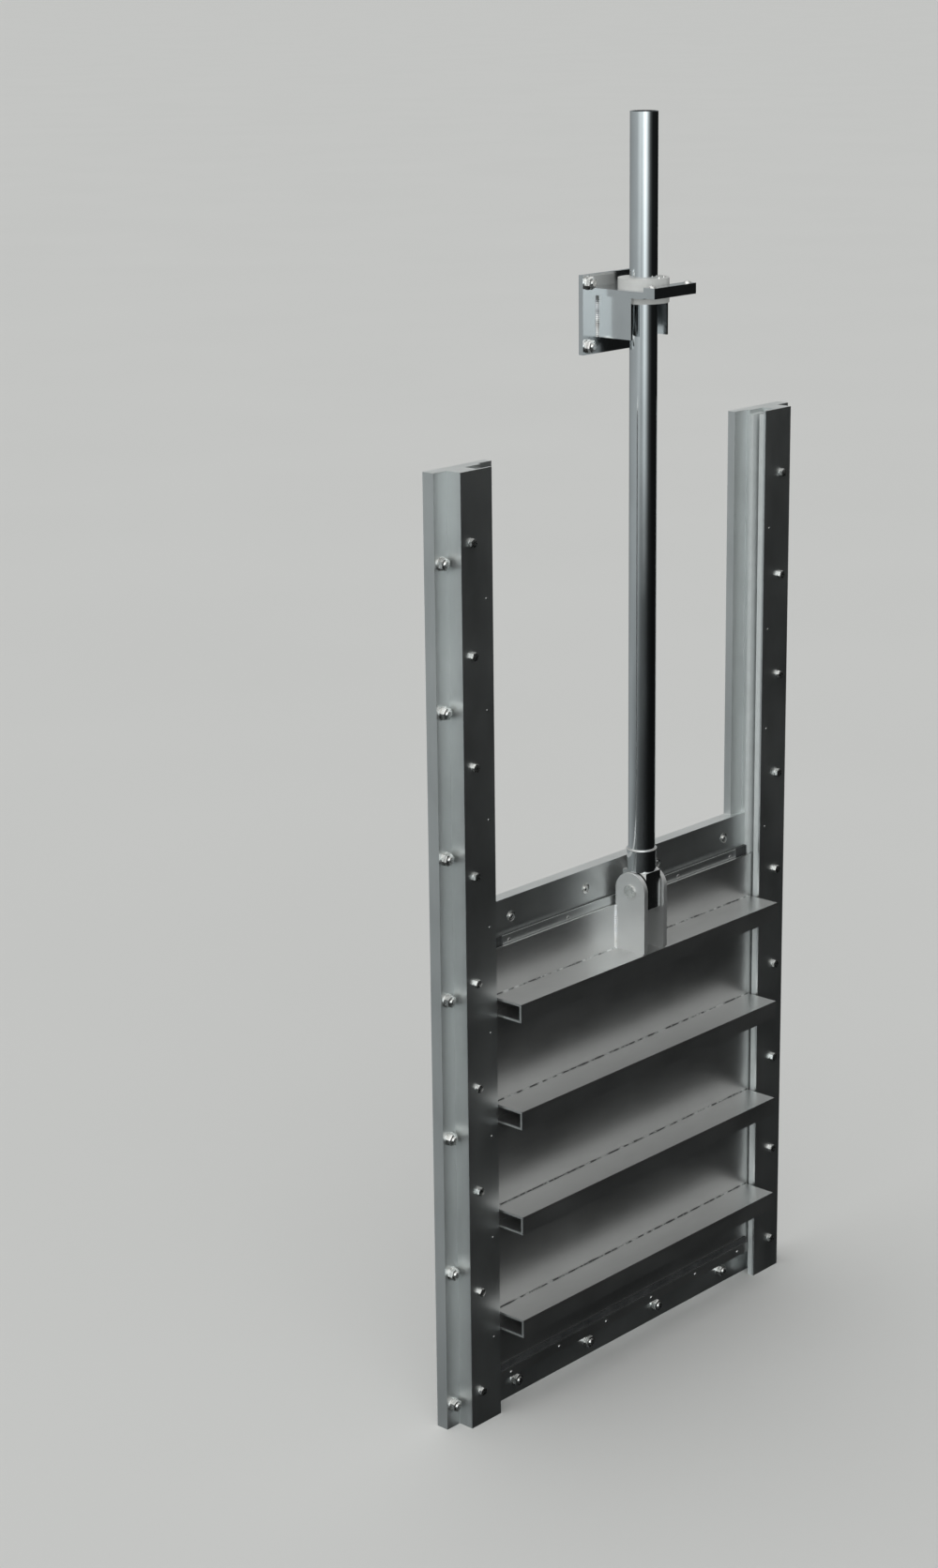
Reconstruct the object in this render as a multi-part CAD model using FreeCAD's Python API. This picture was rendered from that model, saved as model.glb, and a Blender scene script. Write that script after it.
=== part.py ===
"""Wall sluice gate: a folded steel frame on the wall, a ribbed gate in side guides and a lifting stem.

Units are mm. X runs along the wall, the front faces -Y, +Z is up.
The wall plane is Y = 0 and the origin is the middle of the sill's wall face.
"""
import FreeCAD
import Part
import os

# ---- overall sizes ----
frame_height = 2150.0
frame_half_width = 600.0
base_width = 144.0                           # wall members down both sides
base_depth = 30.0
base_wall = 3.0
ledge_width = 43.0                           # shallow inner edge of the wall members
ledge_depth = 20.0
sill_height = 90.0
lintel_height = 140.0
lintel_top = 1190.0

# ---- side guides, stacked out from the wall members ----
guide_set_in = 40.0                          # wall member's edge to the guide bar
guide_bar_width = 55.0
guide_bar_depth = 33.0
guide_bar_wall = 4.0
guide_cap = 5.0
front_plate_width = 95.0
front_plate_thick = 5.0
slide_strip_width = 37.0
seat_strip_width = 44.0
seat_strip_thick = 9.5
seat_strip_reach = 5.0                       # seat strip past the gate's edge
strip_end_gap = 9.0                          # strips stop short of the frame's head

# ---- running gaps of the gate ----
gap_seat = 0.8                               # gate to the seat strips behind it
gap_slide = 3.7                              # gate to the slide strips before it
gap_edge = 10.0                              # gate to the guide bars
gap_rib = 9.0                                # ribs to the front plates
gap_seal_end = 10.0                          # bottom seal to the slide strips

# ---- gate ----
plate_thick = 6.0
sill_overlap = 24.0                          # gate's foot below the sill's top
lintel_step = 100.0                          # gate's head below the lintel's top
rib_step = 104.0                             # uppermost rib below the gate's head
rib_foot = 201.5                             # underside of the lowest rib
rib_front = 130.0
rib_height = 42.0
rib_wall = 5.0
rib_count = 4

# ---- bottom seal ----
bottom_seal_height = 38.0
bottom_seal_thick = 5.0
bottom_clamp_height = 24.0
bottom_clamp_thick = 4.0

# ---- lintel seal ----
lintel_seal_height = 54.0
lintel_seal_drop = 80.0                      # seal's top below the lintel's top
lintel_seal_thick = 6.0
lintel_clamp_height = 27.0
lintel_clamp_thick = 2.5
lintel_clamp_end = 44.0                      # seal showing past the clamp's end
seal_end_gap = 0.3
lip_gap = 2.0

# ---- stem and clevis ----
stem_radius = 60.3 / 2.0
stem_wall = 4.0
stem_rise = 695.0                            # stem's end above the frame's head
sleeve_wall = 2.85
sleeve_height = 50.0
collar_height = 2.5
collar_step = 1.0
eye_side = 5.15                              # eye's cheek inside the stem's radius
eye_set_back = 8.0                           # eye's faces inside the lugs' faces
eye_height = 86.0
eye_lift = 3.0                               # eye's foot above a line on the gate's head
lug_gap = 3.0
lug_thick = 12.0
lug_height = 186.0
lug_corner = 7.0                             # rounded corner at the lug's front foot
pin_radius = 12.0
pin_head_radius = 15.0
pin_head = 4.5
pin_fit = 0.2
pin_drop = 42.0                              # pin's middle below the lugs' tops

# ---- stem bracket ----
bracket_rise = 185.0                         # bracket's foot above the frame's head
bracket_height = 170.0
bracket_half_width = 110.0
bracket_thick = 12.0
bush_wall = 25.0
bush_flange = 22.0
bush_gap = 0.3
neck_wall = 14.0
neck_fit = 0.3
bush_ring_height = 15.0
cheek_side = 7.35                            # cheek's outer face outside the bush
cheek_thick = 5.0
cheek_reach = 17.0                           # cheek's front edge past the stem's axis
cheek_drop = 135.0                           # cheek's foot below the bracket's head
table_side = 15.0                            # table's edge outside the bush
table_thick = 15.0
table_front_edge = 2.0                       # table's front edge past the bush
table_drop = 30.0                            # table's top below the bracket's head
bar_depth = 30.0
bar_height = 23.0
bar_drop = 20.0

# ---- anchor holes ----
cut_over = 1.0                               # how far a cutting shape runs past the piece
anchor_hole = 9.0
side_anchor_edge = 20.0
side_anchor_foot = 55.0
side_anchor_head = 190.0
side_anchor_count = 7
cross_anchor_count = 4
cross_anchor_edge = 38.0
sill_anchor_z = 38.0
lintel_anchor_drop = 45.0
bracket_anchor_edge = 17.0
bracket_anchor_foot = 18.0

# ---- heights above the frame's foot ----
zf = -sill_height / 2.0                      # frame's foot under the origin
lintel_bottom = lintel_top - lintel_height
gate_bottom = sill_height - sill_overlap
gate_top = lintel_top - lintel_step
rib_top = gate_top - rib_step
rib_pitch = (rib_top - rib_height - rib_foot) / (rib_count - 1)
lintel_seal_top = lintel_top - lintel_seal_drop
lintel_seal_bottom = lintel_seal_top - lintel_seal_height
lintel_clamp_bottom = lintel_seal_top - lintel_clamp_height
lug_top = rib_top + lug_height
eye_bottom = gate_top - eye_lift
eye_top = eye_bottom + eye_height
pin_height = lug_top - pin_drop
stem_top = frame_height + stem_rise
bracket_bottom = frame_height + bracket_rise
bracket_top = bracket_bottom + bracket_height
table_top = bracket_top - table_drop

# ---- faces, measured out from the wall ----
base_face = base_depth
front_plate_back = base_face + guide_bar_depth
front_plate_face = front_plate_back + front_plate_thick
gate_rear = base_face + seat_strip_thick + gap_seat
gate_face = gate_rear + plate_thick
slide_strip_face = gate_face + gap_slide
stem_out = (gate_face + rib_front) / 2.0     # stem's axis
cheek_front = stem_out + cheek_reach
table_front = stem_out + stem_radius + bush_wall + table_front_edge

# ---- faces, measured sideways from the middle ----
member_inner = frame_half_width - base_width
opening_half_width = member_inner - ledge_width
guide_outer = frame_half_width - guide_set_in
guide_inner = guide_outer - guide_bar_width
front_plate_inner = guide_outer - front_plate_width
gate_half_width = guide_inner - gap_edge
rib_half_length = front_plate_inner - gap_rib
bottom_seal_half = front_plate_inner - gap_seal_end
seat_strip_inner = gate_half_width + seat_strip_reach - seat_strip_width
bush_radius = stem_radius + bush_wall
cheek_outer = bush_radius + cheek_side
table_half_width = bush_radius + table_side
eye_half_width = stem_radius - eye_side
lug_inner = eye_half_width + lug_gap
lug_outer = lug_inner + lug_thick


def box(x0, x1, y0, y1, z0, z1):
    """Box from X x0..x1, from y0 to y1 out from the wall, Z z0..z1 above the frame's foot."""
    return Part.makeBox(x1 - x0, y1 - y0, z1 - z0, FreeCAD.Vector(x0, -y1, z0 + zf))


def rod(radius, z0, z1):
    """Upright cylinder on the stem's axis."""
    return Part.makeCylinder(radius, z1 - z0, FreeCAD.Vector(0, -stem_out, z0 + zf))


def wall_hole(x, z, depth):
    """Anchor hole bored from the wall face outwards."""
    start = FreeCAD.Vector(x, cut_over, z + zf)
    return Part.makeCylinder(anchor_hole, depth + 2 * cut_over, start, FreeCAD.Vector(0, -1, 0))


def bored(shape, places, depth):
    """Shape with anchor holes at each (x, z) place."""
    for x, z in places:
        shape = shape.cut(wall_hole(x, z, depth))
    return shape


def save(name, shape):
    """Write one node; several like pieces go out as one compound."""
    shape.exportStep(os.path.join("parts", name + ".step"))


def mirrored(shape):
    """The same shape on the other side of the middle."""
    return shape.mirror(FreeCAD.Vector(0, 0, 0), FreeCAD.Vector(1, 0, 0))


def side_anchor_places():
    """Outer row of anchor holes down the left side."""
    step = (frame_height - side_anchor_head - side_anchor_foot) / (side_anchor_count - 1)
    x = side_anchor_edge - frame_half_width
    return [(x, side_anchor_foot + step * i) for i in range(side_anchor_count)]


def cross_anchor_places(z):
    """Row of anchor holes along the sill or the lintel."""
    end = opening_half_width - cross_anchor_edge
    step = 2 * end / (cross_anchor_count - 1)
    return [(step * i - end, z) for i in range(cross_anchor_count)]


def flat_section(x0, x1, depth, z0, z1):
    """Upright flat box section on the wall, closed at its head and open at its foot."""
    w = base_wall
    hollow = box(x0 + w, x1 - w, w, depth - w, z0 - cut_over, z1 - w)
    return box(x0, x1, 0, depth, z0, z1).cut(hollow)


def base_side():
    """Left wall member with its shallow inner edge, which the sill and the lintel interrupt."""
    member = flat_section(-frame_half_width, -member_inner, base_depth, 0, frame_height)
    for z0, z1 in ((sill_height, lintel_bottom), (lintel_top, frame_height)):
        member = member.fuse(flat_section(-member_inner, -opening_half_width, ledge_depth, z0, z1))
    return bored(member.removeSplitter(), side_anchor_places(), base_depth)


def base_cross(z0, z1, anchor_z):
    """Sill or lintel member between the two wall members."""
    shell = box(-member_inner, member_inner, 0, base_depth, z0, z1)
    inner = box(-member_inner - cut_over, member_inner + cut_over,
                base_wall, base_depth - base_wall, z0 + base_wall, z1 - base_wall)
    return bored(shell.cut(inner), cross_anchor_places(anchor_z), base_depth)


def guide_bar():
    """Box bar that spaces the front plate off the wall member."""
    x0, x1 = -guide_outer, -guide_inner
    z0, z1 = guide_cap, frame_height - guide_cap
    w = guide_bar_wall
    bar = box(x0, x1, base_face, front_plate_back, z0, z1)
    return bar.cut(box(x0 + w, x1 - w, base_face + w, front_plate_back - w, z0 - cut_over, z1 + cut_over))


def guide_caps():
    """Closing plates at the foot and the head of the guide bar."""
    x0, x1 = -guide_outer, -guide_inner
    foot = box(x0, x1, base_face, front_plate_back, 0, guide_cap)
    head = box(x0, x1, base_face, front_plate_back, frame_height - guide_cap, frame_height)
    return Part.makeCompound([foot, head])


def front_plate():
    return box(-guide_outer, -front_plate_inner, front_plate_back, front_plate_face, 0, frame_height)


def slide_strip():
    """Plastic strip behind the front plate that the gate's face runs on."""
    return box(-front_plate_inner - slide_strip_width, -front_plate_inner,
               slide_strip_face, front_plate_back, 0, frame_height - strip_end_gap)


def seat_strip():
    """Sealing strip on the wall member that the gate's back runs on."""
    return box(-seat_strip_inner - seat_strip_width, -seat_strip_inner,
               base_face, base_face + seat_strip_thick, sill_height, frame_height - strip_end_gap)


def lintel_seal():
    """Rubber strip across the lintel, up to the seat strips, with a thicker lip behind the gate's head."""
    half = seat_strip_inner - seal_end_gap
    strip = box(-half, half, base_face, base_face + lintel_seal_thick, lintel_seal_bottom, lintel_seal_top)
    lip = box(-half, half, base_face, base_face + seat_strip_thick,
              lintel_seal_bottom, lintel_clamp_bottom - lip_gap)
    return strip.fuse(lip).removeSplitter()


def lintel_clamp():
    half = seat_strip_inner - lintel_clamp_end
    y0 = base_face + lintel_seal_thick
    return box(-half, half, y0, y0 + lintel_clamp_thick,
               lintel_clamp_bottom, lintel_seal_top)


def gate_plate():
    return box(-gate_half_width, gate_half_width, gate_rear, gate_face, gate_bottom, gate_top)


def rib(index):
    """Channel rib, open at both ends and welded to the plate by its two flanges."""
    z1 = rib_top - index * rib_pitch
    z0 = z1 - rib_height
    outer = box(-rib_half_length, rib_half_length, gate_face, rib_front, z0, z1)
    return outer.cut(box(-rib_half_length - cut_over, rib_half_length + cut_over, gate_face - cut_over,
                         rib_front - rib_wall, z0 + rib_wall, z1 - rib_wall))


def bottom_seal():
    return box(-bottom_seal_half, bottom_seal_half,
               gate_face, gate_face + bottom_seal_thick, gate_bottom, gate_bottom + bottom_seal_height)


def bottom_clamp():
    y0 = gate_face + bottom_seal_thick
    return box(-bottom_seal_half, bottom_seal_half, y0, y0 + bottom_clamp_thick,
               gate_bottom, gate_bottom + bottom_clamp_height)


def pin_cylinder(radius, x0, x1):
    start = FreeCAD.Vector(x0, -stem_out, pin_height + zf)
    return Part.makeCylinder(radius, x1 - x0, start, FreeCAD.Vector(1, 0, 0))


def lug():
    """Left clevis plate: stands on the top rib, round at the top, with the pin hole."""
    x0, x1 = -lug_outer, -lug_inner
    radius = (rib_front - gate_face) / 2.0
    plate = box(x0, x1, gate_face, rib_front, rib_top, lug_top - radius)
    head = Part.makeCylinder(radius, lug_thick, FreeCAD.Vector(x0, -stem_out, lug_top - radius + zf),
                             FreeCAD.Vector(1, 0, 0))
    corner = box(x0, x1, rib_front - lug_corner, rib_front, rib_top, rib_top + lug_corner)
    round_corner = Part.makeCylinder(lug_corner, lug_thick,
                                     FreeCAD.Vector(x0, lug_corner - rib_front, rib_top + lug_corner + zf),
                                     FreeCAD.Vector(1, 0, 0))
    plate = plate.cut(corner.cut(round_corner)).fuse(head).removeSplitter()
    return plate.cut(pin_cylinder(pin_radius + pin_fit, x0 - cut_over, x1 + cut_over))


def stem_eye():
    """Block under the stem that the pin passes through."""
    block = box(-eye_half_width, eye_half_width, gate_face + eye_set_back, rib_front - eye_set_back,
                eye_bottom, eye_top)
    past = eye_half_width + cut_over
    return block.cut(pin_cylinder(pin_radius + pin_fit, -past, past))


def clevis_pin():
    """Pin across both lugs with a round head at each end."""
    shank = pin_cylinder(pin_radius, -lug_outer, lug_outer)
    heads = [pin_cylinder(pin_head_radius, -lug_outer - pin_head, -lug_outer),
             pin_cylinder(pin_head_radius, lug_outer, lug_outer + pin_head)]
    return shank.multiFuse(heads)


def stem_tube():
    return rod(stem_radius, eye_top, stem_top).cut(
        rod(stem_radius - stem_wall, eye_top - cut_over, stem_top + cut_over))


def stem_sleeve():
    """Sleeve round the foot of the stem with a small collar at its top."""
    top = eye_top + sleeve_height
    radius = stem_radius + sleeve_wall
    sleeve = rod(radius, eye_top, top)
    collar = rod(radius + collar_step, top - collar_height, top)
    return sleeve.fuse(collar).cut(rod(stem_radius, eye_top - cut_over, top + cut_over))


def bracket_plate():
    plate = box(-bracket_half_width, bracket_half_width, 0, bracket_thick, bracket_bottom, bracket_top)
    x = bracket_half_width - bracket_anchor_edge
    heights = (bracket_bottom + bracket_anchor_foot, bracket_top - bracket_anchor_edge)
    places = [(side * x, z) for side in (-1, 1) for z in heights]
    return bored(plate, places, bracket_thick)


def bracket_cheek():
    return box(-cheek_outer, -cheek_outer + cheek_thick, bracket_thick, cheek_front,
               bracket_top - cheek_drop, table_top - table_thick)


def bracket_table():
    """Level plate carrying the bush."""
    z0 = table_top - table_thick
    plate = box(-table_half_width, table_half_width, bracket_thick, table_front, z0, table_top)
    return plate.cut(rod(stem_radius + neck_wall + neck_fit, z0 - cut_over, table_top + cut_over))


def bracket_bar():
    z1 = bracket_top - bar_drop
    return box(-table_half_width, table_half_width, table_front, table_front + bar_depth,
               z1 - bar_height, z1)


def stem_bush():
    """Flanged plastic bush; its neck drops through the table."""
    bore = stem_radius + bush_gap
    foot = table_top - table_thick - bush_ring_height
    body = rod(bush_radius, table_top, table_top + bush_flange).fuse(
        rod(stem_radius + neck_wall, foot, table_top))
    return body.cut(rod(bore, foot - cut_over, table_top + bush_flange + cut_over)).removeSplitter()


def bush_ring():
    """Retaining ring round the bush's neck under the table."""
    z1 = table_top - table_thick
    z0 = z1 - bush_ring_height
    bore = stem_radius + neck_wall + neck_fit
    return rod(bush_radius, z0, z1).cut(rod(bore, z0 - cut_over, z1 + cut_over))


def build():
    os.makedirs("parts", exist_ok=True)
    pairs = {"base": base_side(), "guide_bar": guide_bar(), "guide_caps": guide_caps(),
             "front_plate": front_plate(), "slide_strip": slide_strip(), "seat_strip": seat_strip(),
             "lug": lug(), "bracket_cheek": bracket_cheek()}
    for name, shape in pairs.items():
        save(name + "_left", shape)
        save(name + "_right", mirrored(shape))
    save("sill", base_cross(0, sill_height, sill_anchor_z))
    save("lintel", base_cross(lintel_bottom, lintel_top, lintel_top - lintel_anchor_drop))
    save("lintel_seal", lintel_seal())
    save("lintel_clamp", lintel_clamp())
    save("gate_plate", gate_plate())
    for index in range(rib_count):
        save("rib_%d" % (index + 1), rib(index))
    save("bottom_seal", bottom_seal())
    save("bottom_clamp", bottom_clamp())
    save("clevis_pin", clevis_pin())
    save("stem_eye", stem_eye())
    save("stem_sleeve", stem_sleeve())
    save("stem_tube", stem_tube())
    save("bracket_plate", bracket_plate())
    save("bracket_table", bracket_table())
    save("bracket_bar", bracket_bar())
    save("stem_bush", stem_bush())
    save("bush_ring", bush_ring())


build()
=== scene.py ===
"""Look of the wall sluice gate: its steel, plastic and rubber, its bolts, anchors, screws and welds.

Lengths are metres, in the gate's own frame: X along the wall, the front faces -Y, +Z is up.
"""
from math import cos, pi, radians, sin

import bmesh
import bpy
from mathutils import Matrix, Vector, noise


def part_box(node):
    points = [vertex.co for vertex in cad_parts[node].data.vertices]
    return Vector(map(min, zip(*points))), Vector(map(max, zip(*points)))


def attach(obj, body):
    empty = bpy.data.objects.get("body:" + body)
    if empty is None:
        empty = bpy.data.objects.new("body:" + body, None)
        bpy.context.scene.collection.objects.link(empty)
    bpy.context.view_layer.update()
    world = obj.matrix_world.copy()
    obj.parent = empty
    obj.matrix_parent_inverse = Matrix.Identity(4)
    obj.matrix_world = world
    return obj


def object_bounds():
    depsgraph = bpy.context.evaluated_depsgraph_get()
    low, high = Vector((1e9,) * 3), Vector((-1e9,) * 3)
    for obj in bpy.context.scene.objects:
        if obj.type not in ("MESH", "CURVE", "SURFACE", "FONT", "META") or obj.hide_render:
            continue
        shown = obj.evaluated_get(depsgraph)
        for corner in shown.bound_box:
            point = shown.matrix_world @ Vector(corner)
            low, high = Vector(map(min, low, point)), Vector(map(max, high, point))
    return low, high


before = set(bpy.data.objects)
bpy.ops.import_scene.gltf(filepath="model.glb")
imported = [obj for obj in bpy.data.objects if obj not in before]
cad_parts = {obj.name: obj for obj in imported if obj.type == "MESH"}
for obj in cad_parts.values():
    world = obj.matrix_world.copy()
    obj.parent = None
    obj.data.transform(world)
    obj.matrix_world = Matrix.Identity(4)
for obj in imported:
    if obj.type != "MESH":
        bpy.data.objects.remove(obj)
cad_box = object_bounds()

MM = 0.001

# ---- bolts and screws of the front plates, in mm ----
bolt_across_flats, bolt_head, bolt_head_edge = 17.0, 6.4, 0.5
bolt_washer, bolt_washer_thick, bolt_washer_edge = 19.0, 1.2, 0.25
bolt_first, bolt_pitch, bolt_count, bolt_set_in = 80.0, 240.0, 9, 32.0
flush_radius, flush_height, flush_edge = 2.4, 1.0, 0.5
flush_rise, flush_set_in = 116.0, 20.0

# ---- wall anchors, in mm ----
anchor_washer_radius, anchor_washer_thick, anchor_washer_edge = 15.0, 3.0, 0.5
anchor_nut_flats, anchor_nut_height, anchor_nut_edge = 24.0, 11.0, 0.9
anchor_stud_radius, anchor_stud_out, anchor_stud_chamfer = 8.0, 18.0, 0.8
anchor_thread, anchor_thread_depth = 2.0, 1.1
side_anchor_first, side_anchor_pitch, side_anchor_count, side_anchor_set_in = 55.0, 317.5, 7, 20.0
cross_anchor_spots = (-375.0, -125.0, 125.0, 375.0)
sill_anchor_height, lintel_anchor_height = 38.0, 1145.0
lintel_ring_radius, lintel_ring_width, lintel_ring_rise, lintel_ring_crown = 12.5, 2.4, 0.7, 0.9
lintel_head_radius, lintel_head_foot, lintel_head_side = 6.0, 0.2, 2.2
lintel_head_edge, lintel_head_crown, lintel_head_rise = 1.2, 3.0, 3.2
bracket_anchor_side, bracket_anchor_low, bracket_anchor_high = 17.0, 18.0, 17.0

# ---- how far each bolt or anchor is turned after the one before it, in radians ----
bolt_turn, side_anchor_turn, sill_anchor_turn = 0.4, 0.7, 0.5
bracket_anchor_turn, bracket_anchor_turn_across = 0.3, 9.0

# ---- small screws of the clamps, the bracket's bar and the bush, in mm ----
lintel_screw_spots, lintel_screw_radius, lintel_screw_rise = (-390.0, -195.0, 0.0, 195.0, 390.0), 5.0, 1.0
bottom_screw_spots = (-415.0, -250.0, -83.0, 83.0, 250.0, 415.0)
bottom_screw_radius, bottom_screw_rise = 4.0, 2.2
bar_screw_side, bar_screw_set_in, bar_screw_radius, bar_screw_rise = 59.0, 15.0, 8.0, 5.0
bush_pin_radius, bush_pin_height, bush_pin_out, bush_pin_bearings = 3.5, 4.0, 43.0, (-52.0, -90.0)
dome_steps = 6

# ---- weld beads, in mm: their legs, their ripples and how uneven they are ----
rib_bead, lug_bead, cheek_bead, collar_bead = 2.2, 4.2, 4.0, 1.8
bead_sides, bead_ring, bead_ripple, bead_ripple_swell = 8, 3.0, 4.2, 0.14
bead_patches_a_metre, bead_patch_swell = 38, 0.45
rib_count, rib_bead_start, lug_bead_start, cheek_bead_start = 4, 3, 40, 60
collar_sides, collar_sunk = 8, 0.6


# ---------------------------------------------------------------- finishes

def new_finish(name, **plain):
    """A material, its node tree and its shader, with the shader's even values set."""
    made = bpy.data.materials.new(name)
    made.use_nodes = True
    tree = made.node_tree
    shader = tree.nodes["Principled BSDF"]
    for socket, value in plain.items():
        shader.inputs[socket.replace("_", " ")].default_value = value
    return made, tree, shader


def grain(tree, scale, stretch=(1, 1, 1), detail=3.0, roughness=0.5):
    """Noise on the piece's own coordinates, drawn out along the axes with a small stretch."""
    place = tree.nodes.new("ShaderNodeTexCoord")
    mapping = tree.nodes.new("ShaderNodeMapping")
    mapping.inputs["Scale"].default_value = stretch
    made = tree.nodes.new("ShaderNodeTexNoise")
    made.inputs["Scale"].default_value = scale
    made.inputs["Detail"].default_value = detail
    made.inputs["Roughness"].default_value = roughness
    tree.links.new(place.outputs["Object"], mapping.inputs["Vector"])
    tree.links.new(mapping.outputs["Vector"], made.inputs["Vector"])
    return made.outputs["Fac"]


def shade(tone, share):
    """A colour made darker or lighter by a share."""
    return [share * channel for channel in tone]


def between(tree, factor, low, high, start=0.3, end=0.7):
    """A number that runs from low to high as the factor runs from start to end."""
    made = tree.nodes.new("ShaderNodeMapRange")
    made.inputs["From Min"].default_value = start
    made.inputs["From Max"].default_value = end
    made.inputs["To Min"].default_value = low
    made.inputs["To Max"].default_value = high
    tree.links.new(factor, made.inputs["Value"])
    return made.outputs["Result"]


def tones(tree, factor, stops):
    """Colours blended along a factor: stops are (place, colour)."""
    made = tree.nodes.new("ShaderNodeValToRGB")
    ramp = made.color_ramp
    ramp.elements[0].position, ramp.elements[0].color = stops[0][0], (*stops[0][1], 1)
    ramp.elements[1].position, ramp.elements[1].color = stops[-1][0], (*stops[-1][1], 1)
    for place, colour in stops[1:-1]:
        ramp.elements.new(place).color = (*colour, 1)
    tree.links.new(factor, made.inputs["Fac"])
    return made.outputs["Color"]


def relief(tree, height, depth, strength, below=None):
    """A bump of the height's pattern, over another bump where one is given."""
    made = tree.nodes.new("ShaderNodeBump")
    made.inputs["Strength"].default_value = strength
    made.inputs["Distance"].default_value = depth
    tree.links.new(height, made.inputs["Height"])
    if below is not None:
        tree.links.new(below, made.inputs["Normal"])
    return made.outputs["Normal"]


def rolled_steel(name, tone, gloss, along, wave=0.25):
    """Stainless plate: fine rolling lines along one axis, faint clouds and a slight wave in the sheet."""
    made, tree, shader = new_finish(name, Metallic=1.0)
    lines = grain(tree, scale=700, stretch=[0.015 if axis == along else 1.0 for axis in "xyz"], detail=4)
    clouds = grain(tree, scale=9, stretch=[0.5 if axis == along else 1.0 for axis in "xyz"], detail=6,
                   roughness=0.6)
    stops = ((0.3, shade(tone, 0.93)), (0.5, tone), (0.72, shade(tone, 1.04)))
    tree.links.new(tones(tree, clouds, stops), shader.inputs["Base Color"])
    lines_share = 0.35
    blend = tree.nodes.new("ShaderNodeMath")
    blend.operation = "MULTIPLY_ADD"
    blend.inputs[1].default_value = lines_share
    tree.links.new(lines, blend.inputs[0])
    tree.links.new(clouds, blend.inputs[2])
    dulling = between(tree, blend.outputs["Value"], gloss - 0.03, gloss + 0.04, start=0.45, end=0.95)
    tree.links.new(dulling, shader.inputs["Roughness"])
    sheet = relief(tree, grain(tree, scale=3.5, detail=1), depth=0.01, strength=wave)
    tree.links.new(relief(tree, lines, depth=0.00005, strength=0.25, below=sheet), shader.inputs["Normal"])
    return made


def drawn_tube(name, tone, gloss):
    """Polished tube: hair lines along its length and faint draw marks."""
    made, tree, shader = new_finish(name, Metallic=1.0)
    lines = grain(tree, scale=500, stretch=(1, 1, 0.01), detail=5)
    marks = grain(tree, scale=14, stretch=(1, 1, 0.35), detail=4)
    stops = ((0.35, shade(tone, 0.93)), (0.65, shade(tone, 1.05)))
    tree.links.new(tones(tree, marks, stops), shader.inputs["Base Color"])
    tree.links.new(between(tree, marks, gloss - 0.03, gloss + 0.05), shader.inputs["Roughness"])
    tree.links.new(relief(tree, lines, depth=0.00004, strength=0.2), shader.inputs["Normal"])
    return made


def bright_fastener(name, tone, gloss):
    """Cold-formed bolts and nuts: bright, with small scuffs."""
    made, tree, shader = new_finish(name, Metallic=1.0)
    scuffs = grain(tree, scale=260, detail=5)
    patches = grain(tree, scale=60, detail=3)
    stops = ((0.35, shade(tone, 0.72)), (0.6, tone))
    tree.links.new(tones(tree, patches, stops), shader.inputs["Base Color"])
    tree.links.new(between(tree, scuffs, gloss - 0.06, gloss + 0.1), shader.inputs["Roughness"])
    tree.links.new(relief(tree, scuffs, depth=0.0003, strength=0.3), shader.inputs["Normal"])
    return made


def weld_steel(name, stops):
    """Weld metal: ripples whose tone changes along the run by the given stops. On the beads this is heat
    tint; on the rib welds the dark stops are painted shade of the gap between plate and rib.
    """
    made, tree, shader = new_finish(name, Metallic=1.0)
    heat_and_shade_patches = grain(tree, scale=55, detail=4)
    ripples = grain(tree, scale=420, detail=2)
    tree.links.new(tones(tree, heat_and_shade_patches, stops), shader.inputs["Base Color"])
    tree.links.new(between(tree, heat_and_shade_patches, low=0.28, high=0.42), shader.inputs["Roughness"])
    tree.links.new(relief(tree, ripples, depth=0.0006, strength=0.5), shader.inputs["Normal"])
    return made


def machined_plastic(name, tone, rough, turned=False):
    """Turned or planed plastic: fine tool lines and a faint mottle."""
    made, tree, shader = new_finish(name, Specular_IOR_Level=0.35)
    lines = grain(tree, scale=900, stretch=(0.02, 0.02, 1) if turned else (1, 1, 0.02), detail=3)
    mottle = grain(tree, scale=30, detail=5)
    stops = ((0.3, shade(tone, 0.9)), (0.65, tone))
    tree.links.new(tones(tree, mottle, stops), shader.inputs["Base Color"])
    tree.links.new(between(tree, mottle, rough - 0.06, rough + 0.08), shader.inputs["Roughness"])
    tree.links.new(relief(tree, lines, depth=0.0001, strength=0.35), shader.inputs["Normal"])
    return made


def moulded_rubber(name):
    """Black seal rubber: dull, with a fine skin and faint dust."""
    made, tree, shader = new_finish(name, Specular_IOR_Level=0.4)
    skin = grain(tree, scale=650, detail=4)
    dust = grain(tree, scale=24, detail=6, roughness=0.65)
    stops = ((0.35, (0.026, 0.028, 0.029)), (0.6, (0.046, 0.048, 0.049)), (0.8, (0.07, 0.07, 0.068)))
    tree.links.new(tones(tree, dust, stops), shader.inputs["Base Color"])
    tree.links.new(between(tree, dust, low=0.42, high=0.62), shader.inputs["Roughness"])
    tree.links.new(relief(tree, skin, depth=0.0002, strength=0.4), shader.inputs["Normal"])
    return made


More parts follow.
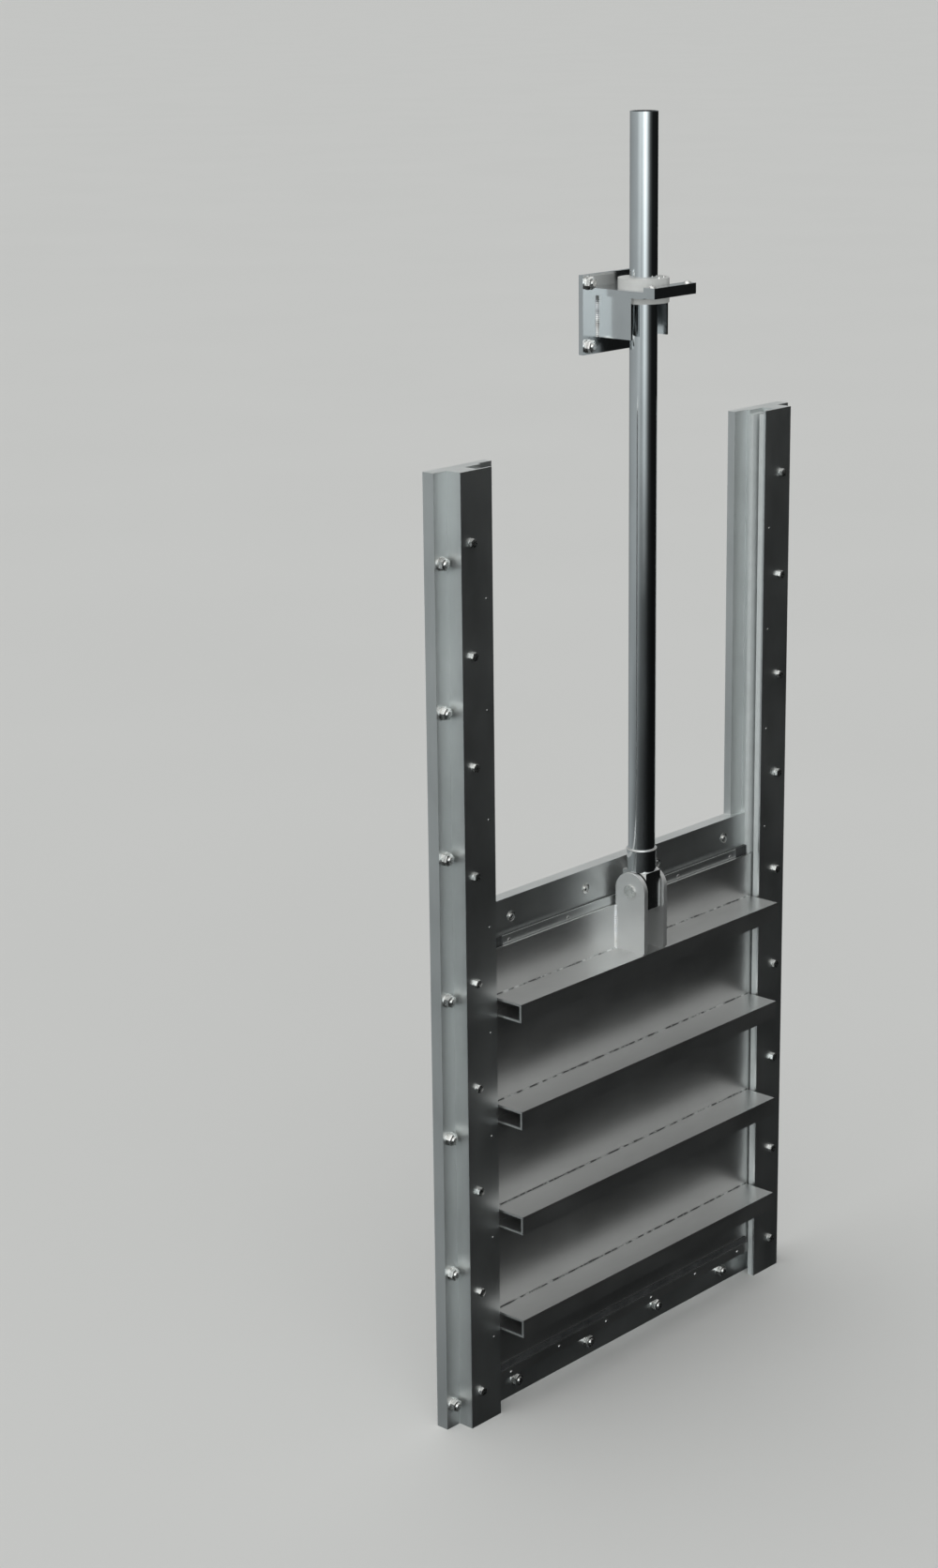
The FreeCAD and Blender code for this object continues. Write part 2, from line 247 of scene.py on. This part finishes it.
frame_tone, gate_tone = (0.73, 0.75, 0.745), (0.732, 0.736, 0.73)
stem_tone, bracket_tone = (0.76, 0.78, 0.79), (0.72, 0.735, 0.74)
bolt_tone, bush_tone, strip_tone = (0.86, 0.86, 0.84), (0.64, 0.64, 0.625), (0.6, 0.63, 0.63)
straw_and_blue = ((0.3, (0.72, 0.71, 0.68)), (0.5, (0.86, 0.87, 0.87)), (0.7, (0.74, 0.77, 0.8)))
# Rib-weld tones: the dark stop is painted shade standing for the shadow in the gap between gate plate and
# rib; the brighter stops are the weld metal.
gap_shade_and_bright = ((0.44, (0.2, 0.2, 0.2)), (0.52, (0.5, 0.51, 0.5)), (0.62, (0.85, 0.86, 0.85)))
upright_steel = rolled_steel("rolled_steel_upright", frame_tone, gloss=0.45, along="z", wave=0.12)
front_steel = rolled_steel("rolled_steel_front", frame_tone, gloss=0.37, along="z", wave=0.04)
level_steel = rolled_steel("rolled_steel_level", frame_tone, gloss=0.38, along="x")
gate_plate_steel = rolled_steel("gate_plate_steel", gate_tone, gloss=0.36, along="x")
lug_steel = rolled_steel("lug_steel", gate_tone, gloss=0.55, along="z", wave=0.05)
eye_steel = rolled_steel("eye_block_steel", gate_tone, gloss=0.19, along="z", wave=0.05)
bracket_steel = rolled_steel("bracket_plate_steel", bracket_tone, gloss=0.16, along="z", wave=0.1)
tube_steel = drawn_tube("drawn_tube_steel", stem_tone, gloss=0.085)
bolt_steel = bright_fastener("bright_bolt_steel", bolt_tone, gloss=0.26)
bead_steel = weld_steel("weld_bead_steel", straw_and_blue)
seam_steel = weld_steel("rib_weld_painted_shade_steel", gap_shade_and_bright)
bush_white = machined_plastic("turned_white_plastic", bush_tone, rough=0.42, turned=True)
strip_grey = machined_plastic("planed_strip_plastic", strip_tone, rough=0.38)
seal_black = moulded_rubber("seal_rubber_black")

node_finish = {
    upright_steel: ("base_left", "base_right", "guide_bar_left", "guide_bar_right", "guide_caps_left",
                    "guide_caps_right"),
    front_steel: ("front_plate_left", "front_plate_right"),
    level_steel: ("sill", "lintel", "lintel_clamp"),
    gate_plate_steel: ("gate_plate", "rib_1", "rib_2", "rib_3", "rib_4", "bottom_clamp"),
    lug_steel: ("lug_left", "lug_right"),
    eye_steel: ("stem_eye",),
    bolt_steel: ("clevis_pin",),
    bracket_steel: ("bracket_plate", "bracket_cheek_left", "bracket_cheek_right", "bracket_table",
                    "bracket_bar"),
    tube_steel: ("stem_tube", "stem_sleeve"),
    bush_white: ("stem_bush", "bush_ring"),
    strip_grey: ("slide_strip_left", "slide_strip_right", "seat_strip_left", "seat_strip_right"),
    seal_black: ("lintel_seal", "bottom_seal"),
}
for finish, names in node_finish.items():
    for name in names:
        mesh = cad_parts[name].data
        mesh.materials.clear()
        mesh.materials.append(finish)


# ---------------------------------------------------------------- shapes

def facing_front(x, y, z, turn=0.0):
    """Stands a shape drawn along +Z out from the wall, towards -Y, with its foot at (x, y, z)."""
    outwards = Matrix.Rotation(radians(90), 4, "X")
    return Matrix.Translation((x, y, z)) @ outwards @ Matrix.Rotation(turn, 4, "Z")


def upright(x, y, z, turn=0.0):
    """Stands a shape drawn along +Z upright, with its foot at (x, y, z)."""
    return Matrix.Translation((x, y, z)) @ Matrix.Rotation(turn, 4, "Z")


def disc(shape, radius, low, high, sides=32, edge=0.0):
    """A round or many-sided bar from low to high, its upper rim bevelled. All in metres."""
    made = bmesh.ops.create_cone(shape, cap_ends=True, segments=sides, radius1=radius, radius2=radius,
                                 depth=high - low, matrix=Matrix.Translation((0, 0, (low + high) / 2)))
    if edge:
        rim = {e for v in made["verts"] for e in v.link_edges if all(c.co.z > high - 1e-6 for c in e.verts)}
        bmesh.ops.bevel(shape, geom=list(rim), offset=edge, offset_type="OFFSET", affect="EDGES",
                        segments=2, profile=0.5, material=-1)


def lathe(shape, profile, steps=32):
    """Turns a profile of (radius, height) points about the Z axis into a closed body."""
    verts = [shape.verts.new((radius, 0, height)) for radius, height in profile]
    edges = [shape.edges.new(pair) for pair in zip(verts, verts[1:])]
    bmesh.ops.spin(shape, geom=verts + edges, cent=(0, 0, 0), axis=(0, 0, 1), angle=2 * pi, steps=steps,
                   use_merge=True)


def closed(shape):
    """Merges doubled points and turns all faces outwards."""
    bmesh.ops.remove_doubles(shape, verts=shape.verts, dist=1e-6)
    bmesh.ops.recalc_face_normals(shape, faces=shape.faces)


def corner_radius(across_flats):
    """Distance from a hexagon's middle to its corners."""
    return across_flats / 2 / cos(pi / 6)


def hex_bolt():
    """Hexagon head on its washer."""
    shape = bmesh.new()
    disc(shape, bolt_washer / 2 * MM, 0, bolt_washer_thick * MM, sides=28, edge=bolt_washer_edge * MM)
    top = bolt_washer_thick + bolt_head
    disc(shape, corner_radius(bolt_across_flats) * MM, bolt_washer_thick * MM, top * MM, sides=6,
         edge=bolt_head_edge * MM)
    closed(shape)
    return shape


def flush_screw():
    """Small pan head, nearly level with the plate."""
    shape = bmesh.new()
    disc(shape, flush_radius * MM, 0, flush_height * MM, sides=20, edge=flush_edge * MM)
    closed(shape)
    return shape


def threaded_stud(length):
    """Stud with its thread rings and a bevelled end."""
    profile = [(0.0, 0.0)]
    root, crest, height = anchor_stud_radius - anchor_thread_depth, anchor_stud_radius, 0.0
    while height < length - anchor_thread:
        profile += [(root, height), (crest, height + anchor_thread / 2)]
        height += anchor_thread
    profile += [(root, height), (root - anchor_stud_chamfer, length), (0.0, length)]
    shape = bmesh.new()
    lathe(shape, [(radius * MM, z * MM) for radius, z in profile], steps=24)
    return shape


def wall_anchor():
    """Washer, nut and stud end of a 16 mm anchor."""
    shape = threaded_stud(anchor_stud_out)
    disc(shape, anchor_washer_radius * MM, 0, anchor_washer_thick * MM, sides=36,
         edge=anchor_washer_edge * MM)
    top = anchor_washer_thick + anchor_nut_height
    disc(shape, corner_radius(anchor_nut_flats) * MM, anchor_washer_thick * MM, top * MM, sides=6,
         edge=anchor_nut_edge * MM)
    closed(shape)
    return shape


def flat_anchor():
    """Flat-headed anchor: a small bright head inside a shallow ring."""
    shape = bmesh.new()
    ring = [(lintel_ring_radius, 0.0), (lintel_ring_radius, lintel_ring_rise),
            (lintel_ring_radius - lintel_ring_width / 2, lintel_ring_crown),
            (lintel_ring_radius - lintel_ring_width, lintel_head_foot)]
    head = [(lintel_head_radius, lintel_head_foot), (lintel_head_radius, lintel_head_side),
            (lintel_head_radius - lintel_head_edge, lintel_head_crown), (0.0, lintel_head_rise)]
    lathe(shape, [(radius * MM, z * MM) for radius, z in [(0.0, 0.0)] + ring + head])
    closed(shape)
    return shape


def domed_screw(radius, rise):
    """Round-headed screw."""
    shape = bmesh.new()
    arc = [radians(90 * k / dome_steps) for k in range(dome_steps)]
    dome = [(radius * cos(a) * MM, rise * sin(a) * MM) for a in arc]
    lathe(shape, [(0.0, 0.0)] + dome + [(0.0, rise * MM)], steps=24)
    closed(shape)
    return shape


def weld_bead(start, end, leg, patch_start):
    """Rippled bead lying along a corner from start to end, uneven along its length."""
    run = Vector(end) - Vector(start)
    shape = bmesh.new()
    bmesh.ops.create_cone(shape, cap_ends=True, segments=bead_sides, radius1=leg * MM, radius2=leg * MM,
                          depth=run.length, matrix=Matrix.Translation((0, 0, run.length / 2)))
    along = [e for e in shape.edges if abs(e.verts[0].co.z - e.verts[1].co.z) > run.length / 2]
    rings = round(run.length / (bead_ring / 2 * MM))
    bmesh.ops.subdivide_edges(shape, edges=along, cuts=rings, use_grid_fill=True)
    for vert in shape.verts:
        z = vert.co.z
        ripple = bead_ripple_swell * sin(2 * pi * z / (bead_ripple * MM))
        patch = bead_patch_swell * noise.noise(Vector((patch_start, 0, z * bead_patches_a_metre)))
        swell = 1 + ripple + patch
        vert.co.x *= swell
        vert.co.y *= swell
    turn = run.to_track_quat("Z", "Y").to_matrix().to_4x4()
    shape.transform(Matrix.Translation(start) @ turn)
    closed(shape)
    return shape


def joined(shapes):
    """One shape made of several."""
    whole = bmesh.new()
    mesh = bpy.data.meshes.new("part")
    for shape in shapes:
        shape.to_mesh(mesh)
        shape.free()
        whole.from_mesh(mesh)
    bpy.data.meshes.remove(mesh)
    return whole


def piece(name, shape, finish, body, smooth=35):
    """Makes a finished piece of a shape, gives it its finish and puts it on its body."""
    mesh = bpy.data.meshes.new(name)
    shape.to_mesh(mesh)
    shape.free()
    mesh.materials.append(finish)
    mesh.shade_smooth()
    mesh.set_sharp_from_angle(angle=radians(smooth))
    made = bpy.data.objects.new(name, mesh)
    bpy.context.scene.collection.objects.link(made)
    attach(made, body)
    return made


def repeated(template, places):
    """One shape holding a copy of the template at each place."""
    whole = bmesh.new()
    mesh = bpy.data.meshes.new("template")
    for place in places:
        copy = template.copy()
        copy.transform(place)
        copy.to_mesh(mesh)
        copy.free()
        whole.from_mesh(mesh)
    template.free()
    bpy.data.meshes.remove(mesh)
    return whole


# ---------------------------------------------------------------- bolts, screws and anchors

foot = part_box("front_plate_left")[0].z
for side, name in ((-1, "left"), (1, "right")):
    low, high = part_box("front_plate_" + name)
    outer, front = (low.x if side < 0 else high.x), low.y
    inner = high.x if side < 0 else low.x
    heights = [foot + (bolt_first + bolt_pitch * k) * MM for k in range(bolt_count)]
    bolt_x = outer - side * bolt_set_in * MM
    places = [facing_front(bolt_x, front, z, turn=bolt_turn * k) for k, z in enumerate(heights)]
    piece("plate_bolts_" + name, repeated(hex_bolt(), places), bolt_steel, "frame")
    flush_x = inner + side * flush_set_in * MM
    places = [facing_front(flush_x, front, z + flush_rise * MM) for z in heights[:-1]]
    piece("plate_screws_" + name, repeated(flush_screw(), places), bolt_steel, "frame")
    low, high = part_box("base_" + name)
    outer, front = (low.x if side < 0 else high.x), low.y
    anchor_x = outer - side * side_anchor_set_in * MM
    heights = [foot + (side_anchor_first + side_anchor_pitch * k) * MM for k in range(side_anchor_count)]
    places = [facing_front(anchor_x, front, z, turn=side_anchor_turn * k) for k, z in enumerate(heights)]
    piece("wall_anchors_" + name, repeated(wall_anchor(), places), bolt_steel, "frame")

sill_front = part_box("sill")[0].y
places = [facing_front(x * MM, sill_front, foot + sill_anchor_height * MM, turn=sill_anchor_turn * k)
          for k, x in enumerate(cross_anchor_spots)]
piece("wall_anchors_sill", repeated(wall_anchor(), places), bolt_steel, "frame")
places = [facing_front(x * MM, sill_front, foot + lintel_anchor_height * MM) for x in cross_anchor_spots]
piece("wall_anchors_lintel", repeated(flat_anchor(), places), bolt_steel, "frame")
low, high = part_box("bracket_plate")
places = [facing_front(x, low.y, z, turn=bracket_anchor_turn + x * bracket_anchor_turn_across + z)
          for x in (low.x + bracket_anchor_side * MM, high.x - bracket_anchor_side * MM)
          for z in (low.z + bracket_anchor_low * MM, high.z - bracket_anchor_high * MM)]
piece("wall_anchors_bracket", repeated(wall_anchor(), places), bolt_steel, "frame")


# ---------------------------------------------------------------- clamp, bar and bush screws

low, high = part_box("lintel_clamp")
places = [facing_front(x * MM, low.y, (low.z + high.z) / 2) for x in lintel_screw_spots]
screw = domed_screw(lintel_screw_radius, lintel_screw_rise)
piece("lintel_clamp_screws", repeated(screw, places), bolt_steel, "frame")
low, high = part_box("bottom_clamp")
places = [facing_front(x * MM, low.y, (low.z + high.z) / 2, turn=x) for x in bottom_screw_spots]
screw = domed_screw(bottom_screw_radius, bottom_screw_rise)
piece("bottom_clamp_screws", repeated(screw, places), bolt_steel, "gate")
low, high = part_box("bracket_bar")
places = [upright(side * bar_screw_side * MM, low.y + bar_screw_set_in * MM, high.z) for side in (-1, 1)]
screw = domed_screw(bar_screw_radius, bar_screw_rise)
piece("bar_screws", repeated(screw, places), bolt_steel, "frame")
low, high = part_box("stem_bush")
middle = (low + high) / 2
places = [upright(middle.x + bush_pin_out * MM * cos(radians(bearing)),
                  middle.y + bush_pin_out * MM * sin(radians(bearing)), high.z)
          for bearing in bush_pin_bearings]
pin = domed_screw(bush_pin_radius, bush_pin_height)
piece("bush_pins", repeated(pin, places), bolt_steel, "frame")


# ---------------------------------------------------------------- welds

gate_front, gate_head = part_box("gate_plate")[0].y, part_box("gate_plate")[1].z
beads = []
for rib in range(1, rib_count + 1):
    low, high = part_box("rib_%d" % rib)
    for level, z in enumerate((low.z, high.z)):
        beads.append(weld_bead((low.x, gate_front, z), (high.x, gate_front, z), rib_bead,
                               rib_bead_start * rib + level))
# The rib welds carry painted shade: their dark dashes stand for the shadow in the gap between plate and rib.
piece("rib_welds", joined(beads), seam_steel, "gate")
beads = []
for side, name in ((-1, "left"), (1, "right")):
    low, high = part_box("lug_" + name)
    outer = low.x if side < 0 else high.x
    beads.append(weld_bead((outer, gate_front, low.z), (outer, gate_front, gate_head), lug_bead,
                           lug_bead_start + side))
piece("lug_welds", joined(beads), bead_steel, "gate")
low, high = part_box("stem_sleeve")
reach = (high.x - low.x) / 2
ring = bmesh.new()
turns = [2 * pi * k / collar_sides for k in range(collar_sides + 1)]
lathe(ring, [(reach + collar_bead * MM * (cos(a) - collar_sunk), high.z + collar_bead * MM * sin(a))
             for a in turns], steps=48)
closed(ring)
ring.transform(Matrix.Translation(((low.x + high.x) / 2, (low.y + high.y) / 2, 0)))
piece("sleeve_bead", ring, bead_steel, "gate", smooth=80)
beads = []
plate_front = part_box("bracket_plate")[0].y
for side, name in ((-1, "left"), (1, "right")):
    low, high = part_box("bracket_cheek_" + name)
    outer = low.x if side < 0 else high.x
    beads.append(weld_bead((outer, plate_front, low.z), (outer, plate_front, high.z), cheek_bead,
                           cheek_bead_start + side))
piece("bracket_welds", joined(beads), bead_steel, "frame")


# ---------------------------------------------------------------- light, floor and camera

camera_place = (-4.8956, -4.1068, 3.1656)
camera_turn, camera_tilt, camera_roll = -47.802, 15.161, -0.531
picture_width, picture_height, focal_length = 1000, 1672, 3146.25
picture_centre = (535.03, 779.81)
sensor, far_clip, floor_reach = 36.0, 500, 400


def set_camera():
    """Camera at left of the gate, a little above its head, looking down."""
    data = bpy.data.cameras.new("camera")
    data.sensor_width = sensor
    data.lens = focal_length * sensor / picture_height
    data.shift_x = (picture_width / 2 - picture_centre[0]) / picture_height
    data.shift_y = (picture_centre[1] - picture_height / 2) / picture_height
    data.clip_end = far_clip
    made = bpy.data.objects.new("camera", data)
    turn = (Matrix.Rotation(radians(camera_turn), 4, "Z") @ Matrix.Rotation(radians(90 - camera_tilt), 4, "X")
            @ Matrix.Rotation(radians(camera_roll), 4, "Z"))
    made.matrix_world = Matrix.Translation(camera_place) @ turn
    bpy.context.scene.collection.objects.link(made)
    bpy.context.scene.camera = made


def lay_floor():
    """Plain pale floor under the frame's foot."""
    shape = bmesh.new()
    bmesh.ops.create_grid(shape, x_segments=1, y_segments=1, size=floor_reach,
                          matrix=Matrix.Translation((0, 0, cad_box[0].z)))
    mesh = bpy.data.meshes.new("floor")
    shape.to_mesh(mesh)
    shape.free()
    made, tree, shader = new_finish("floor_paint", Roughness=0.9, Specular_IOR_Level=0.1)
    cloud = grain(tree, scale=0.6, detail=2)
    tree.links.new(tones(tree, cloud, ((0.3, (0.67, 0.67, 0.66)), (0.7, (0.68, 0.68, 0.67)))),
                   shader.inputs["Base Color"])
    mesh.materials.append(made)
    floor = bpy.data.objects.new("floor", mesh)
    floor.visible_glossy = False
    bpy.context.scene.collection.objects.link(floor)


def toward(azimuth, elevation):
    """Unit direction: azimuth 0 is out from the wall, 90 is along +X."""
    a, e = radians(azimuth), radians(elevation)
    return Vector((sin(a) * cos(e), -cos(a) * cos(e), sin(e)))


# Surround by height: (elevation, tint, ((bearing from the camera's line, brightness), ...)).
# Bearing 0 is behind the camera, 90 is at its right hand and 180 is straight ahead of it.
cool, neutral = (0.925, 1.0, 1.015), (0.99, 1.0, 0.99)
surround_rings = (
    (-32.0, cool, ((-180, 0.12), (-118, 0.20), (-86, 0.13), (-60, 0.07), (-20, 0.03), (20, 0.012),
                   (60, 0.006), (150, 0.006), (180, 0.12))),
    (-17.0, cool, ((-180, 0.20), (-118, 0.33), (-86, 0.22), (-60, 0.105), (-20, 0.05), (20, 0.014),
                   (60, 0.005), (150, 0.006), (180, 0.20))),
    (-12.0, cool, ((-180, 0.20), (-118, 0.33), (-60, 0.37), (-46, 0.36), (-28, 0.18), (-12, 0.12),
                   (15, 0.075), (45, 0.016), (80, 0.006), (155, 0.006), (180, 0.20))),
    (-5.0, cool, ((-180, 0.22), (-118, 0.34), (-60, 0.43), (-34, 0.72), (-18, 0.58), (-6, 0.95),
                  (6, 1.5), (18, 1.1), (34, 0.36), (48, 0.08), (70, 0.012), (160, 0.006), (180, 0.22))),
    (3.0, cool, ((-180, 0.26), (-118, 0.36), (-60, 0.50), (-34, 1.2), (6, 2.9), (34, 1.0), (52, 0.10),
                 (75, 0.014), (150, 0.012), (180, 0.26))),
    (9.0, cool, ((-180, 0.40), (-118, 0.42), (-60, 0.50), (-34, 1.2), (6, 2.5), (34, 0.95), (60, 0.06),
                 (150, 0.05), (180, 0.40))),
    (15.0, neutral, ((-180, 0.44), (-60, 0.48), (-34, 0.90), (6, 1.6), (34, 0.80), (60, 0.46),
                     (180, 0.44))),
    (30.0, neutral, ((-180, 0.46), (-60, 0.50), (6, 0.9), (60, 0.46), (180, 0.46))),
    (48.0, neutral, ((-180, 1.1), (-60, 1.0), (6, 1.1), (60, 0.40), (140, 0.5), (180, 1.1))),
)
backdrop_tone = (0.62, 0.62, 0.61, 1)

# Soft lamps: (name, direction they stand in, strength, spread in degrees).
soft_lamps = (("key_lamp", toward(-40, 35), 0.2, 45), ("fill_lamp", toward(-95, 35), 0.3, 40))


def light_studio():
    """Surround that the steel mirrors, dark below and pale above and at the left, and two soft lamps."""
    world = bpy.data.worlds.new("studio")
    bpy.context.scene.world = world
    world.use_nodes = True
    tree = world.node_tree
    tree.nodes.clear()
    link = tree.links.new

    def maths(operation, first, second=None):
        """One sum of one or two linked numbers."""
        made = tree.nodes.new("ShaderNodeMath")
        made.operation = operation
        link(first, made.inputs[0])
        if second is not None:
            link(second, made.inputs[1])
        return made.outputs["Value"]

    def negative(value):
        """A linked number with its sign turned."""
        made = tree.nodes.new("ShaderNodeMath")
        made.operation = "MULTIPLY"
        made.inputs[1].default_value = -1
        link(value, made.inputs[0])
        return made.outputs["Value"]

    parts = tree.nodes.new("ShaderNodeSeparateXYZ")
    turned = tree.nodes.new("ShaderNodeMapping")
    turned.vector_type = "NORMAL"
    turned.inputs["Rotation"].default_value = (0, 0, radians(-camera_turn))
    link(tree.nodes.new("ShaderNodeTexCoord").outputs["Generated"], turned.inputs["Vector"])
    link(turned.outputs["Vector"], parts.inputs["Vector"])
    across, ahead, up = parts.outputs
    bearing = maths("ARCTAN2", across, negative(ahead))
    round_share = between(tree, bearing, 0, 1, -pi, pi)
    height = maths("ARCSINE", up)
    first_colour, second_colour, mixed_colour = 6, 7, 2
    total = None
    for elevation, tint, stops in surround_rings:
        ring = tones(tree, round_share, [((turn + 180) / 360, shade(tint, light)) for turn, light in stops])
        if total is None:
            total, low = ring, elevation
            continue
        blend = tree.nodes.new("ShaderNodeMix")
        blend.data_type = "RGBA"
        link(between(tree, height, 0, 1, radians(low), radians(elevation)), blend.inputs["Factor"])
        link(total, blend.inputs[first_colour])
        link(ring, blend.inputs[second_colour])
        total, low = blend.outputs[mixed_colour], elevation
    mirrored = tree.nodes.new("ShaderNodeBackground")
    link(total, mirrored.inputs["Color"])
    backdrop = tree.nodes.new("ShaderNodeBackground")
    backdrop.inputs["Color"].default_value = backdrop_tone
    mix = tree.nodes.new("ShaderNodeMixShader")
    link(tree.nodes.new("ShaderNodeLightPath").outputs["Is Camera Ray"], mix.inputs["Fac"])
    link(mirrored.outputs["Background"], mix.inputs[1])
    link(backdrop.outputs["Background"], mix.inputs[2])
    link(mix.outputs["Shader"], tree.nodes.new("ShaderNodeOutputWorld").inputs["Surface"])

    for name, aim, strength, spread in soft_lamps:
        lamp = bpy.data.lights.new(name, "SUN")
        lamp.energy, lamp.angle = strength, radians(spread)
        made = bpy.data.objects.new(name, lamp)
        made.rotation_euler = aim.to_track_quat("Z", "Y").to_euler()
        bpy.context.scene.collection.objects.link(made)
    bpy.context.scene.view_settings.view_transform = "Standard"


set_camera()
lay_floor()
light_studio()
